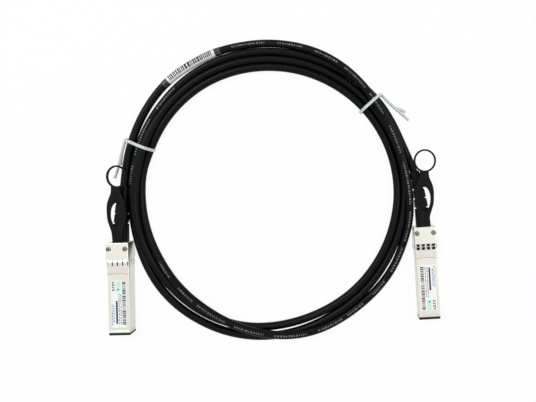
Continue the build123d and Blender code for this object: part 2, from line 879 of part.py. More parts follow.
def make_cable_coil():
    """The wound cable as one solid of its outer shape, with the strands that leave it and lie on it."""
    outline = [polar(angle, radius) for angle, radius in coil_outline.items()]
    middle = cable_diameter / 2
    high = middle + strand_rise
    with BuildPart() as cable_coil:
        with BuildSketch(Plane.XY):
            with BuildLine():
                Spline(*outline, periodic=True)
            make_face()
            with Locations((coil_x, coil_y)):
                Circle(coil_inner_radius, mode=Mode.SUBTRACT)
        extrude(amount=cable_diameter)
        rims = cable_coil.edges().group_by(Axis.Z)
        fillet(rims[0] + rims[-1], coil_edge)
        # The outer strand at the top, from the first lead into the coil
        with BuildLine():
            outer_strand = Spline(
                join_a,
                polar(72.0, 96.5, middle),
                polar(54.0, 94.3, middle),
                polar(38.0, 91.2, middle),
                tangents=(paths["a"] % 1, (math.sin(math.radians(44)), -math.cos(math.radians(44)), 0)),
            )
        with BuildSketch(Plane(origin=join_a, z_dir=paths["a"] % 1)):
            Circle(middle)
        sweep(path=outer_strand)
        # The strand that leaves for the second plug
        with BuildLine():
            inner_strand = Spline(
                join_b,
                polar(27.0, 90.9, middle),
                polar(36.0, 91.0, middle),
                tangents=(paths["b"] % 1, (-math.sin(math.radians(36)), math.cos(math.radians(36)), 0)),
            )
        with BuildSketch(Plane(origin=join_b, z_dir=paths["b"] % 1)):
            Circle(middle)
        sweep(path=inner_strand)
        # Strands that cross over the others, at the two ties and at the bottom
        for crossing in (
            ((146, 83.0, middle), (160, 82.6, high), (180, 84.0, high), (198, 86.0, high), (214, 87.5, middle)),
            ((14, 84.5, middle), (26, 85.5, high), (42, 86.5, high), (56, 87.0, high), (70, 88.0, middle)),
            ((232, 88.0, middle), (246, 87.0, high), (264, 85.0, high), (282, 84.0, high), (296, 83.0, middle)),
        ):
            first = math.radians(crossing[0][0])
            last = math.radians(crossing[-1][0])
            with BuildLine():
                over = Spline(
                    *[polar(*spot) for spot in crossing],
                    tangents=((-math.sin(first), math.cos(first), 0), (-math.sin(last), math.cos(last), 0)),
                )
            with BuildSketch(Plane(origin=over @ 0, z_dir=over % 0)):
                Circle(middle)
            sweep(path=over)
        # The ties lie in grooves that they press into the coil
        for tie in ties.values():
            with BuildSketch(tie_plane(tie["angle"])):
                with BuildLine():
                    FilletPolyline(*tie_outline(tie["reach"], tie["shoulder"]), radius=tie_corner, close=True)
                make_face()
                offset(amount=tie_sheet, kind=Kind.ARC)
                with BuildLine():
                    FilletPolyline(*tie_outline(tie["reach"], tie["shoulder"]), radius=tie_corner, close=True)
                make_face(mode=Mode.SUBTRACT)
            extrude(amount=tie_width / 2, both=True, mode=Mode.SUBTRACT)
    return cable_coil


def make_twist_tie(tie):
    """A flat tie round the coil, with its ends twisted together outside and spread."""
    with BuildPart() as twist_tie:
        with BuildSketch(tie_plane(tie["angle"])):
            with BuildLine():
                FilletPolyline(*tie_outline(tie["reach"], tie["shoulder"]), radius=tie_corner, close=True)
            make_face()
            offset(amount=tie_sheet, kind=Kind.ARC)
            with BuildLine():
                FilletPolyline(*tie_outline(tie["reach"], tie["shoulder"]), radius=tie_corner, close=True)
            make_face(mode=Mode.SUBTRACT)
        extrude(amount=tie_width / 2, both=True)
        for tail in tie["tails"]:
            with BuildLine():
                run = Spline(*tail)
            with BuildSketch(Plane(origin=run @ 0, z_dir=run % 0)):
                Circle(tie_tail_diameter / 2)
            sweep(path=run)
    return twist_tie


def make_cable_tag():
    """The clear sleeve with its printed wrap, shrunk on the first lead."""
    path = paths["a"]
    with BuildPart() as cable_tag:
        with BuildSketch(Plane(origin=path @ 0, z_dir=path % 0)):
            Circle(cable_diameter / 2 + tag_wall)
            Circle(cable_diameter / 2, mode=Mode.SUBTRACT)
        sweep(path=path)
        split(bisect_by=station(path, tag_start), keep=Keep.TOP)
        split(bisect_by=station(path, tag_start + tag_length), keep=Keep.BOTTOM)
    return cable_tag


for end, place in plugs.items():
    frame = plug_frame(place)
    save(make_shell(frame, True), f"upper_shell_{end}")
    save(make_shell(frame, False), f"lower_shell_{end}")
    save(make_clamp_screws(frame), f"clamp_screws_{end}")
    save(make_emi_collar(frame), f"emi_collar_{end}")
    save(make_nose_frame(frame), f"nose_frame_{end}")
    save(make_circuit_board(frame), f"circuit_board_{end}")
    save(make_edge_contacts(frame), f"edge_contacts_{end}")
    save(make_board_chips(frame), f"board_chips_{end}")
    save(make_twinax_pairs(frame), f"twinax_pairs_{end}")
    save(make_cable_ferrule(frame), f"cable_ferrule_{end}")
    save(make_release_slider(frame), f"release_slider_{end}")
    save(make_return_spring(frame), f"return_spring_{end}")
    save(make_pull_tab(frame, place), f"pull_tab_{end}")
    save(make_plug_label(frame), f"plug_label_{end}")
    save(make_strain_relief(frame, paths[end]), f"strain_relief_{end}")
    save(make_cable_lead(paths[end]), f"cable_lead_{end}")

for side, tie in ties.items():
    save(make_twist_tie(tie), f"twist_tie_{side}")
save(make_cable_tag(), "cable_tag")
save(make_cable_coil(), "cable_coil")
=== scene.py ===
# %% [markdown]
# # Direct attach copper cable
# A network cable of fixed length: a metal plug at each end, a black twin-axial
# cable between them, wound in a loose coil and held by two twist ties. The
# engineering model gives the plugs, boots and tabs at their real size. This lesson
# gives them their finishes, and lays the real two metres of cable over the coil.

import math
import random

import bmesh
import bpy
from mathutils import Matrix, Vector


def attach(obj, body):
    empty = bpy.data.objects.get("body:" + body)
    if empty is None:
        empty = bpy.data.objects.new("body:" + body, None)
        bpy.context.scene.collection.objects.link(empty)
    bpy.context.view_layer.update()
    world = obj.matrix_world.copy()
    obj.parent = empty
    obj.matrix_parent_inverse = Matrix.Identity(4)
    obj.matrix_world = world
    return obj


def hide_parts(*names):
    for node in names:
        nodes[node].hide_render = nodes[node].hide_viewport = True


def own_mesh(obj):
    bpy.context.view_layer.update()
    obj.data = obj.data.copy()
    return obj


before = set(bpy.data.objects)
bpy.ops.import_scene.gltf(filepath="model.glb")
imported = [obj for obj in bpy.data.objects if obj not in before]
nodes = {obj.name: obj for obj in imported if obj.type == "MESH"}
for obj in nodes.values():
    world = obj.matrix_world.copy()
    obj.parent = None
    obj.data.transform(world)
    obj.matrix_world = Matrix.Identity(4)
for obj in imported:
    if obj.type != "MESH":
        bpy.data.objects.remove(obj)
scene = bpy.context.scene
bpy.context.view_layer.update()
MM = 0.001

# %% [markdown]
# ## Camera
# The photograph looks straight down from about 310 mm over the table. Its axis
# meets the table right of and above the middle of the picture, so the lens is
# shifted by that many pixels instead of being tilted.

# %% Camera over the coil
PICTURE_WIDTH = 536
PICTURE_HEIGHT = 402
AXIS_PIXEL = (345.0, 165.0)
FOCAL_PIXELS = 479.0
SENSOR = 36.0
CAMERA_PLACE = (44.7 * MM, 48.9 * MM, 310 * MM)
NEAREST_SEEN = 0.01
camera_data = bpy.data.cameras.new("overhead_camera")
camera_data.sensor_width = SENSOR
camera_data.lens = FOCAL_PIXELS / PICTURE_WIDTH * SENSOR
camera_data.shift_x = (PICTURE_WIDTH / 2 - AXIS_PIXEL[0]) / PICTURE_WIDTH
camera_data.shift_y = (AXIS_PIXEL[1] - PICTURE_HEIGHT / 2) / PICTURE_WIDTH
camera_data.clip_start = NEAREST_SEEN
camera = bpy.data.objects.new("overhead_camera", camera_data)
camera.location = CAMERA_PLACE
scene.collection.objects.link(camera)
scene.camera = camera
scene.view_settings.view_transform = "Standard"
print("lens mm", round(camera_data.lens, 1), "shift", round(camera_data.shift_x, 3))

# %% [markdown]
# ## Two helpers for materials
# Colours are written as sRGB hex values, as a paint chart gives them, and the
# shader wants linear light. The second helper adds any node in one line, with its
# settings and with the values or outputs that feed it.


# %% Colour and node helpers
def paint(hex_colour):
    """An sRGB hex colour as the linear colour that a shader socket takes."""
    channels = [int(hex_colour[at : at + 2], 16) / 255 for at in (1, 3, 5)]
    light = [c / 12.92 if c <= 0.04045 else ((c + 0.055) / 1.055) ** 2.4 for c in channels]
    return (*light, 1.0)


def add(tree, kind, inputs, **settings):
    """Adds one shader node. An input is given a value, or the output that feeds it."""
    node = tree.nodes.new(kind)
    for name, value in settings.items():
        setattr(node, name, value)
    for name, value in inputs.items():
        if isinstance(value, bpy.types.NodeSocket):
            tree.links.new(value, node.inputs[name])
        else:
            node.inputs[name].default_value = value
    return node


def grained(name, low, high, gloss, grain_mm, relief_mm, stretch=(1, 1, 1), **surface):
    """A finish whose tint, gloss and relief follow one grain, its size in millimetres."""
    material = bpy.data.materials.new(name)
    material.use_nodes = True
    tree = material.node_tree
    tree.nodes.clear()
    place = add(tree, "ShaderNodeTexCoord", {})
    drawn = add(tree, "ShaderNodeMapping", {"Vector": place.outputs["Object"], "Scale": stretch})
    noise_inputs = {"Vector": drawn.outputs[0], "Scale": 1 / (grain_mm * MM), "Detail": 3.0}
    noise = add(tree, "ShaderNodeTexNoise", noise_inputs)
    grain = noise.outputs["Fac"]
    tint = add(tree, "ShaderNodeMix", {0: grain, 6: paint(low), 7: paint(high)}, data_type="RGBA")
    rough_inputs = {"Value": grain, "To Min": gloss[0], "To Max": gloss[1]}
    rough = add(tree, "ShaderNodeMapRange", rough_inputs)
    relief = add(tree, "ShaderNodeBump", {"Height": grain, "Distance": relief_mm * MM})
    inputs = {
        "Base Color": tint.outputs[2],
        "Roughness": rough.outputs[0],
        "Normal": relief.outputs[0],
    }
    inputs.update({key.replace("_", " "): value for key, value in surface.items()})
    shader = add(tree, "ShaderNodeBsdfPrincipled", inputs)
    add(tree, "ShaderNodeOutputMaterial", {"Surface": shader.outputs[0]})
    return material


# %% [markdown]
# ## Metal finishes
# The shells are zinc die castings with a satin nickel plate: a warm pale grey with
# a fine cast grain under it. The collar and the release slider are stamped from
# stainless sheet, with the faint lines of rolling along the plug. Gold, tin and
# zinc plate the small parts. The real grains are a few hundredths of a millimetre.
# A pixel of the picture is 0.6 mm wide, so each is drawn several times coarser.

# %% Metals
# Pale and slightly warm, the soft gloss of plate over a cast grain.
satin_nickel = grained(
    "satin_nickel_on_zinc_casting", "#d2d1c7", "#e4e3da", (0.28, 0.4), 0.35, 0.006, Metallic=1.0
)
# Brighter and harder, with streaks that run along the strip.
ALONG_THE_PLUG = (1, 0.08, 1)
rolled_stainless = grained(
    "rolled_stainless_sheet", "#d3d2ca", "#e5e4dc", (0.2, 0.32), 0.2, 0.003, ALONG_THE_PLUG,
    Metallic=1.0,
)
# Cooler and darker than the shells, so the screws stand out in their holes.
zinc_screw = grained(
    "zinc_plated_steel_screw", "#6f706e", "#989995", (0.25, 0.4), 0.25, 0.004, Metallic=1.0
)
# Drawn wire is smooth and a little grey.
spring_steel = grained(
    "drawn_spring_wire", "#a3a4a2", "#c6c6c2", (0.22, 0.32), 0.15, 0.001, Metallic=1.0
)
# Hard gold over nickel, the yellow edge of the card.
contact_gold = grained(
    "hard_gold_plate", "#d8b04a", "#ecc768", (0.18, 0.28), 0.2, 0.001, Metallic=1.0
)
# Tin dulls the brass of the crimp to a straw grey.
tinned_brass = grained(
    "tin_plated_crimp_brass", "#b8ae93", "#d3cab0", (0.3, 0.45), 0.3, 0.004, Metallic=1.0
)
print("metals", 6)

# %% [markdown]
# ## Black plastics
# Black plastics differ in their gloss: the cable's extruded jacket is satin, the
# soft tab and boots are matte with a spark-eroded mould grain, and the nose frame
# is harder and smoother. A black surface under a white studio turns grey if its
# gloss is too strong, so these have a low specular level. Their grain is drawn
# coarser than the real one too.

# %% Jacket, tab, boot and nose
# Extruded vinyl is near black, and its satin gloss draws a soft line along each strand.
jacket = grained(
    "extruded_jacket_satin", "#030304", "#070708", (0.34, 0.44), 0.6, 0.01, Specular_IOR_Level=0.1
)
# Moulded rubber is matte and slightly lighter than the jacket, with a fine mould grain.
tab_rubber = grained(
    "moulded_soft_tab", "#050505", "#0c0c0c", (0.48, 0.62), 0.25, 0.02, Specular_IOR_Level=0.1
)
# The boot's vinyl is softer still, and swallows the light between its slots.
boot_rubber = grained(
    "moulded_boot_vinyl", "#040404", "#0a0a0a", (0.44, 0.58), 0.3, 0.02, Specular_IOR_Level=0.1
)
# Glass-filled nylon is harder, and shows a touch more of the light.
nose_nylon = grained(
    "moulded_black_nylon", "#0a0a0a", "#141414", (0.4, 0.52), 0.3, 0.012, Specular_IOR_Level=0.25
)
# Painted shade: a matte black for the plates that stand in for the unlit slots of the collars and
# for the shadow under their front edge.
painted_shade = grained(
    "painted_slot_shade", "#050505", "#0d0d0c", (0.6, 0.7), 0.3, 0.001, Specular_IOR_Level=0.1
)
print("black plastics", 5)

# %% Board, chips and pairs
# Solder mask lies wet-looking over the woven laminate.
solder_mask = grained(
    "green_solder_mask", "#0c3a1c", "#17552b", (0.22, 0.34), 0.5, 0.008, Coat_Weight=0.3
)
# Moulded epoxy is a dull charcoal, with no shine at any angle.
chip_epoxy = grained("moulded_chip_epoxy", "#141414", "#232323", (0.55, 0.7), 0.1, 0.004)
# Foil wound round the pairs is bright, and its wrinkles break up what it mirrors.
pair_foil = grained(
    "foil_wrapped_pair", "#c6c7c8", "#e4e4e4", (0.25, 0.45), 0.6, 0.02, Metallic=0.8
)
print("finishes inside the plugs", 3)

# %% [markdown]
# ## Film, paper and ink
# The labels are coated film and the tag is printed paper. Ink is only a tint on
# them, so each ink has the low relief and the gloss of what carries it.

# %% Film, paper and inks
# Coated film is white, with the faintest mottle.
label_film = grained("coated_label_film", "#e6e9e8", "#f1f3f2", (0.42, 0.5), 0.8, 0.002)
# Paper under its tube looks wet and a little greyer than the labels.
wrap_paper = grained(
    "printed_wrap_paper", "#d9dcdb", "#eceeed", (0.35, 0.45), 1.2, 0.01, Coat_Weight=0.4
)
# Printing ink is thin and takes the film's gloss.
black_ink = grained("black_printing_ink", "#131517", "#222427", (0.45, 0.55), 0.3, 0.001)
# Thermal print is a denser black, so the tag's narrow bars stay dark at this distance.
bar_ink = grained("thermal_bar_print", "#101314", "#24282a", (0.45, 0.55), 0.3, 0.001)
# Small type is too fine to read, and shows as grey or blue-grey columns.
grey_ink = grained("grey_printing_ink", "#6d7479", "#868c90", (0.45, 0.55), 0.3, 0.001)
blue_ink = grained("blue_grey_printing_ink", "#7288a6", "#8fa1b9", (0.45, 0.55), 0.3, 0.001)
# A pale field with one strong spot in it is the only lively colour on the plugs.
pale_green_ink = grained(
    "pale_green_printing_ink", "#bfe0ca", "#d0eada", (0.45, 0.55), 0.3, 0.001
)
green_ink = grained("green_printing_ink", "#2c9358", "#3aa368", (0.45, 0.55), 0.3, 0.001)
# Marking ink sinks into the jacket, and is left a worn grey.
jacket_ink = grained("jacket_marking_ink", "#484b4d", "#6c6f71", (0.5, 0.6), 0.4, 0.001)
print("film, paper and inks", 9)

# %% Ties and sleeves
# Thin polyethylene lets light through, so the ties look milky.
tie_film = grained(
    "milky_polyethylene_tie", "#b4babd", "#d3d8da", (0.3, 0.42), 0.9, 0.02,
    Subsurface_Weight=0.3, Subsurface_Scale=0.001,
)
# Shrink tube is clear, and leaves what it covers as it was.
clear_sleeve = grained(
    "clear_shrink_sleeve", "#0a0b0b", "#101111", (0.4, 0.5), 1.5, 0.0, Alpha=0.03
)
# Past the wrap's ends it has shrunk double, and shows as a cloudy grey band.
milky_sleeve = grained(
    "milky_shrink_sleeve", "#2c2f30", "#4a4e4f", (0.2, 0.32), 0.8, 0.02, Alpha=0.5
)
print("materials", len(bpy.data.materials))

# %% [markdown]
# ## Dressing the engineering model
# Every node of the frame keeps its shape, and takes the finish of the real piece.

# %% Finish for each node
FINISHES = {
    "upper_shell": satin_nickel,
    "lower_shell": satin_nickel,
    "clamp_screws": zinc_screw,
    "emi_collar": rolled_stainless,
    "nose_frame": nose_nylon,
    "circuit_board": solder_mask,
    "edge_contacts": contact_gold,
    "board_chips": chip_epoxy,
    "twinax_pairs": pair_foil,
    "cable_ferrule": tinned_brass,
    "release_slider": rolled_stainless,
    "return_spring": spring_steel,
    "pull_tab": tab_rubber,
    "plug_label": label_film,
    "strain_relief": boot_rubber,
    "cable_lead": jacket,
    "cable_coil": jacket,
    "cable_tag": clear_sleeve,
    "twist_tie": tie_film,
}
for name, node in nodes.items():
    kind = next(kind for kind in FINISHES if name.startswith(kind))
    node.data.materials.clear()
    node.data.materials.append(FINISHES[kind])
print("dressed", len(nodes))

# %% [markdown]
# ## The cable
# One smooth line carries the whole cable. It leaves the first plug, swings up its
# lead, winds clockwise and runs back into the second plug, three and a half turns
# in all with its leads.
# The leads follow listed points, the same as the engineering model's. Each
# turn is a loop over a short table that says, by the angle turned from the top of
# the coil, how far out a strand lies and how high: a strand that crosses the
# others rides over them in a long low hump.

# %% Where the plugs and the coil lie
# The rear face of each housing: millimetres to the right and up the table, and its turn.
PLUG_PLACES = {"a": (-98.0, 0.2, 1.34), "b": (94.6, 10.2, 3.39)}
PLUGS = {
    end: Matrix.Translation((x * MM, y * MM, 0)) @ Matrix.Rotation(math.radians(turn), 4, "Z")
    for end, (x, y, turn) in PLUG_PLACES.items()
}
COIL_MIDDLE = Vector((-4.1 * MM, 29.6 * MM, 0))
CABLE_DIAMETER = 5.0 * MM
CABLE_RADIUS = CABLE_DIAMETER / 2
CABLE_AXIS = 4.9 * MM
IN_FERRULE = -9.6 * MM
IN_REAR_WALL = 1.0 * MM
LEAD_A = [
    (-0.0977, 0.0120, 0.0048),
    (-0.0974, 0.0235, 0.0043),
    (-0.0967, 0.0350, 0.0034),
    (-0.0955, 0.0465, 0.0032),
    (-0.0932, 0.0590, 0.0037),
    (-0.0881, 0.0743, 0.0034),
    (-0.0802, 0.0895, 0.0028),
    (-0.0687, 0.1033, 0.00285),
    (-0.0535, 0.1138, 0.0029),
    (-0.0371, 0.1219, 0.00285),
    (-0.0199, 0.1259, 0.0025),
]
LEAD_B = [
    (0.0834, 0.0576, 0.0025),
    (0.0866, 0.0505, 0.0025),
    (0.0896, 0.0420, 0.00325),
    (0.0919, 0.0320, 0.0039),
    (0.0933, 0.0220, 0.0046),
]
print("leads", len(LEAD_A), len(LEAD_B))

# %% How each turn lies: degrees turned from the top, millimetres out, millimetres up
OUTER_TURN = [
    (0, 97.3, 2.5), (15, 96.9, 3.0), (25, 95.6, 6.0), (32, 94.0, 7.1), (40, 92.2, 7.5),
    (48, 90.2, 7.0), (60, 88.4, 7.1), (75, 87.6, 7.3), (85, 88.4, 7.4), (95, 90.6, 6.2),
    (103, 91.6, 3.8), (110, 91.4, 2.8), (120, 92.1, 2.5), (130, 91.9, 2.5), (140, 91.4, 2.5),
    (150, 91.6, 2.7), (162, 91.2, 5.3), (170, 89.6, 7.2), (180, 87.6, 7.2), (190, 85.4, 7.5),
    (200, 83.6, 6.9), (210, 82.4, 5.6), (225, 81.6, 4.2), (240, 81.2, 2.6), (255, 81.3, 2.5),
    (270, 81.7, 2.5), (278, 82.5, 2.5), (290, 81.4, 2.5), (310, 82.0, 2.5), (330, 82.4, 2.5),
]
SECOND_TURN = [
    (0, 82.1, 2.5), (30, 82.2, 2.5), (48, 82.5, 2.5), (70, 82.6, 2.5), (90, 82.4, 2.5),
    (100, 82.0, 2.5), (120, 81.6, 2.5), (150, 81.9, 2.5), (165, 82.4, 2.5), (178, 84.0, 2.5),
    (190, 85.4, 2.5), (205, 86.2, 2.5), (235, 86.0, 2.5), (248, 85.6, 4.0), (258, 84.9, 6.4),
    (270, 84.4, 6.83), (282, 84.3, 6.83), (293, 84.8, 6.7), (304, 85.9, 4.5), (315, 86.6, 2.7),
    (330, 87.2, 2.5),
]
THIRD_TURN = [
    (0, 87.1, 2.5), (30, 87.2, 2.5), (48, 87.4, 2.5), (62, 86.9, 2.5), (75, 87.3, 2.5),
    (87, 87.2, 2.5), (98, 86.9, 2.5), (110, 86.6, 2.5), (120, 86.3, 2.5), (130, 86.5, 2.5),
    (140, 86.7, 2.5), (150, 86.8, 2.5), (162, 88.0, 2.5), (175, 89.8, 2.5), (187, 91.0, 2.5),
    (200, 91.6, 2.5), (220, 91.9, 2.5), (232, 91.4, 2.5), (240, 90.3, 2.5), (252, 88.7, 2.5),
    (265, 87.9, 2.5), (275, 88.2, 2.5), (287, 88.8, 2.5), (298, 89.5, 2.5), (312, 90.1, 2.5),
    (325, 91.6, 2.5), (340, 92.3, 2.5),
]
LAST_PART = [
    (0, 92.1, 2.5), (20, 92.0, 2.5), (35, 92.3, 2.5), (48, 92.4, 2.5), (58, 91.6, 2.5),
    (66, 91.3, 2.5),
]
# Degrees between two control points of the winding.
STEP = 10
turned_table = [
    (360 * number + turned, radius, height)
    for number, turn in enumerate((OUTER_TURN, SECOND_TURN, THIRD_TURN, LAST_PART))
    for turned, radius, height in turn
]
print("stations", len(turned_table), "turns", round(turned_table[-1][0] / 360, 2))


# %% The winding loop
def between(turned):
    """Radius and height of the cable at a turned angle, between two stations."""
    after = next(at for at, station in enumerate(turned_table) if station[0] >= turned)
    if after == 0:
        return turned_table[0][1:]
    angle_1, radius_1, height_1 = turned_table[after - 1]
    angle_2, radius_2, height_2 = turned_table[after]
    share = (turned - angle_1) / (angle_2 - angle_1)
    return radius_1 + (radius_2 - radius_1) * share, height_1 + (height_2 - height_1) * share


def wind():
    """Control points of the turns, set out by as much as the line runs inside them."""
    points = []
    for turned in range(0, turned_table[-1][0], STEP):
        radius, height = between(turned)
        reach = radius * MM / math.cos(math.radians(STEP / 2))
        angle = math.radians(90 - turned)
        out = Vector((math.cos(angle), math.sin(angle), 0)) * reach
        points.append(COIL_MIDDLE + out + Vector((0, 0, height * MM)))
    return points


def in_plug(end, y):
    """A point on the cable's axis in a plug, at y from the rear of its housing."""
    return PLUGS[end] @ Vector((0, y, CABLE_AXIS))


# %% One curve through the leads and the turns
route = [in_plug("a", IN_FERRULE), in_plug("a", IN_REAR_WALL)]
route += [Vector(point) for point in LEAD_A]
route += wind()
route += [Vector(point) for point in LEAD_B]
route += [in_plug("b", IN_REAR_WALL), in_plug("b", IN_FERRULE)]
cable_curve = bpy.data.curves.new("cable", "CURVE")
cable_curve.dimensions = "3D"
line = cable_curve.splines.new("NURBS")
line.points.add(len(route) - 1)
for point, place in zip(line.points, route):
    point.co = (*place, 1)
line.order_u = 3
line.use_endpoint_u = True
line.resolution_u = 8
cable = bpy.data.objects.new("cable", cable_curve)
scene.collection.objects.link(cable)
print("route points", len(route))

# %% Its real length, read from the smooth line before it gets its thickness
line_mesh = bpy.data.meshes.new_from_object(cable)
line_points = [vertex.co.copy() for vertex in line_mesh.vertices]
bpy.data.meshes.remove(line_mesh)
distances = [0.0]
for before, after in zip(line_points, line_points[1:]):
    distances.append(distances[-1] + (after - before).length)
cable_length = distances[-1]
cable_curve.bevel_depth = CABLE_RADIUS
cable_curve.bevel_resolution = 8
cable_curve.use_fill_caps = True
cable_curve.materials.append(jacket)
print("cable length m", round(cable_length, 3))

# %% [markdown]
# ## Pieces that lie on the cable
# The wrapped tag and the printed marks are made flat, as paper and ink are, and then
# bent onto the cable: x is the distance along it, and y the way round from its top.


# %% Bending a flat shape onto the cable
def cable_station(distance):
    """The middle of the cable at a distance from its start, with the ways to its right and up."""
    after = next(at for at, reached in enumerate(distances) if reached >= distance)
    after = max(after, 1)
    share = (distance - distances[after - 1]) / (distances[after] - distances[after - 1])
    middle = line_points[after - 1].lerp(line_points[after], share)
    ahead = (line_points[after] - line_points[after - 1]).normalized()
    right = ahead.cross(Vector((0, 0, 1))).normalized()
    return middle, right, right.cross(ahead)


def bend_on_cable(shape):
    """Bends a flat bmesh onto the cable, its z the height over the jacket."""
    for vertex in shape.verts:
        middle, right, up = cable_station(vertex.co.x)
        roll = vertex.co.y / CABLE_RADIUS
        out = right * math.sin(roll) + up * math.cos(roll)
        vertex.co = middle + out * (CABLE_RADIUS + vertex.co.z)


def flat_plate(shape, x, y, z, cells=(1, 1), material=0):
    """Adds a plate to a bmesh, from x[0] to x[1] and so on, cut into cells along x and y."""
    made = bmesh.ops.create_cube(shape, size=1)
    size = Vector((x[1] - x[0], y[1] - y[0], z[1] - z[0]))
    middle = Vector(((x[0] + x[1]) / 2, (y[0] + y[1]) / 2, (z[0] + z[1]) / 2))
    bmesh.ops.scale(shape, vec=size, verts=made["verts"])
    bmesh.ops.translate(shape, vec=middle, verts=made["verts"])
    geometry = set(made["verts"])
    for axis, count in enumerate(cells):
        for cut in range(1, count):
            at = middle.copy()
            at[axis] += size[axis] * (cut / count - 0.5)
            normal = Vector((0, 0, 0))
            normal[axis] = 1
            faces = {face for vertex in geometry for face in vertex.link_faces}
            edges = {edge for vertex in geometry for edge in vertex.link_edges}
            sliced = bmesh.ops.bisect_plane(
                shape, geom=[*geometry, *edges, *faces], plane_co=at, plane_no=normal
            )
            cut_through = sliced["geom_cut"]
            geometry |= {item for item in cut_through if isinstance(item, bmesh.types.BMVert)}
    for face in {face for vertex in geometry for face in vertex.link_faces}:
        face.material_index = material
    return geometry


# %% Making a piece of a finished shape
def piece_of(shape, name, body, materials, sharp=35):
    """Turns a bmesh into a piece that rides on a body, smooth except at sharp edges."""
    mesh = bpy.data.meshes.new(name)
    bmesh.ops.recalc_face_normals(shape, faces=shape.faces)
    shape.to_mesh(mesh)
    shape.free()
    for material in materials:
        mesh.materials.append(material)
    mesh.polygons.foreach_set("use_smooth", [True] * len(mesh.polygons))
    mesh.set_sharp_from_angle(angle=math.radians(sharp))
    piece = bpy.data.objects.new(name, mesh)
    scene.collection.objects.link(piece)
    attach(piece, body)
    print(name, "faces", len(mesh.polygons))
    return piece


# %% [markdown]
# ## The tag
# A printed paper wrap under clear shrink tube. Uneven bars stand in for its print,
# and a plain margin is left on the side towards the middle of the coil.

# %% Tag sleeve and wrap
SLEEVE_START = 101.5 * MM
SLEEVE_END = 158.5 * MM
WRAP_START = 119.5 * MM
WRAP_END = 154.5 * MM
BAND_START = 115.5 * MM
# The lowest and highest height of each layer over the jacket.
WRAP_LAYER = (0.02 * MM, 0.16 * MM)
BAND_LAYER = (0.02 * MM, 0.18 * MM)
SLEEVE_LAYER = (0.22 * MM, 0.34 * MM)
HALF_ROUND = math.pi * CABLE_RADIUS
CELLS_ROUND = 28
MERGE = 0.002 * MM
NO_AREA = 1e-14


def cable_tube(start, end, layer, cells_along):
    """A closed tube round the cable, bent from one flat plate whose two long sides meet."""
    shape = bmesh.new()
    round_it = (-HALF_ROUND, HALF_ROUND)
    flat_plate(shape, (start, end), round_it, layer, (cells_along, CELLS_ROUND))
    bend_on_cable(shape)
    bmesh.ops.remove_doubles(shape, verts=shape.verts, dist=MERGE)
    inner = [face for face in shape.faces if all(len(edge.link_faces) > 2 for edge in face.edges)]
    seam = [face for face in shape.faces if face in inner or face.calc_area() < NO_AREA]
    bmesh.ops.delete(shape, geom=seam, context="FACES")
    return shape


wrap = piece_of(
    cable_tube(WRAP_START, WRAP_END, WRAP_LAYER, 18),
    "tag_wrap", "cable", [wrap_paper],
)
sleeve = piece_of(
    cable_tube(SLEEVE_START, SLEEVE_END, SLEEVE_LAYER, 26),
    "tag_clear_sleeve", "cable", [clear_sleeve],
)
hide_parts("cable_tag")
for name, start, stop in (("near", BAND_START, WRAP_START), ("far", WRAP_END, SLEEVE_END)):
    tube = cable_tube(start, stop, BAND_LAYER, 3)
    piece_of(tube, f"tag_{name}_band", "cable", [milky_sleeve])

# %% Bars across the wrap
BAR_WIDTHS = (0.6, 0.8, 1.1, 1.5)
BAR_GAPS = (0.4, 0.5, 0.7)
FIRST_MARGIN = 1.6 * MM
LAST_MARGIN = 2.4 * MM
BAR_AROUND = (-1.25 * CABLE_RADIUS, 0.5 * CABLE_RADIUS)
BAR_LAYER = (0.15 * MM, 0.19 * MM)
chance = random.Random(31)
bars = bmesh.new()
at = WRAP_START + FIRST_MARGIN
while at < WRAP_END - LAST_MARGIN:
    width = chance.choice(BAR_WIDTHS) * MM
    flat_plate(bars, (at, at + width), BAR_AROUND, BAR_LAYER, (1, 8))
    at += width + chance.choice(BAR_GAPS) * MM
bend_on_cable(bars)
tag_bars = piece_of(bars, "tag_bars", "cable", [bar_ink])

# %% [markdown]
# ## Marks on the jacket
# The jacket carries a line of small pale marks. They are short dashes here, in
# groups as words would be, along the turn whose print faces up.

# %% Jacket marks
PRINT_UP = ((166 * MM, 560 * MM), (1690 * MM, 1745 * MM))
GROUP_LENGTHS = (9, 26)
GROUP_GAPS = (3, 9)
MARK_WIDTHS = (0.5, 0.8, 1.1)
MARK_HALVES = (0.42, 0.55, 0.6)
MARK_GAPS = (0.5, 0.9)
MARK_LAYER = (-0.01 * MM, 0.03 * MM)
marks = bmesh.new()
for start, stop in PRINT_UP:
    at = start
    while at < stop:
        group_end = at + chance.uniform(*GROUP_LENGTHS) * MM
        while at < group_end:
            width = chance.choice(MARK_WIDTHS) * MM
            half = chance.choice(MARK_HALVES) * MM
            flat_plate(marks, (at, at + width), (-half, half), MARK_LAYER, (1, 2))
            at += width + chance.uniform(*MARK_GAPS) * MM
        at += chance.uniform(*GROUP_GAPS) * MM
bend_on_cable(marks)
jacket_marks = piece_of(marks, "jacket_marks", "cable", [jacket_ink])

# %% [markdown]
# ## Softer tabs
# Moulded rubber has no sharp edge. A copy of each tab's solid is merged, and its
# rims are bevelled to a small radius that catches a line of light.

